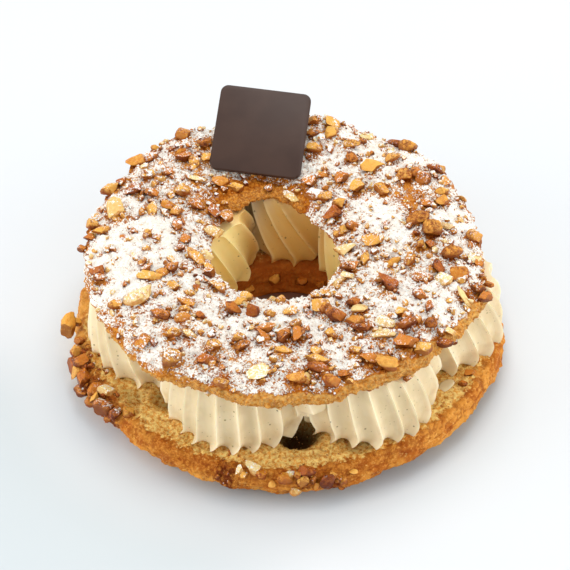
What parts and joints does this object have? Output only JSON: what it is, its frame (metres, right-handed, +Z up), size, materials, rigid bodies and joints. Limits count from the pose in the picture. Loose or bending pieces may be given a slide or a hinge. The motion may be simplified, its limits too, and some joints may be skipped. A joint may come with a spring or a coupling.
{
  "type": "paris brest pastry",
  "caption": "Ring of choux pastry cut across and filled with twisted piped mounds of praline cream; a nut and sugar topped lid carries a square chocolate plaque.",
  "frame": {"origin": "centre of the ring, on the surface that it stands on", "axes": "+Z up along the ring's axis, -Y towards the front, where the hole's view opens below the plaque, +X to the right seen from the front"},
  "size_m": [0.1271, 0.1265, 0.052],
  "materials": {
    "baked_choux": "matt baked crust, golden brown",
    "praline_cream": "smooth, softly shining cream with fine specks",
    "sugared_choux": "baked crust under chopped nuts and powdered sugar",
    "dark_chocolate": "satin"
  },
  "bodies": {
    "root": {"choux_base": "baked_choux", "cream_mound_1": "praline_cream", "cream_mound_2": "praline_cream", "cream_mound_3": "praline_cream", "cream_mound_4": "praline_cream", "cream_mound_5": "praline_cream", "cream_mound_6": "praline_cream", "cream_mound_7": "praline_cream", "choux_lid": "sugared_choux", "chocolate_plaque": "dark_chocolate"}
  },
  "joints": []
}
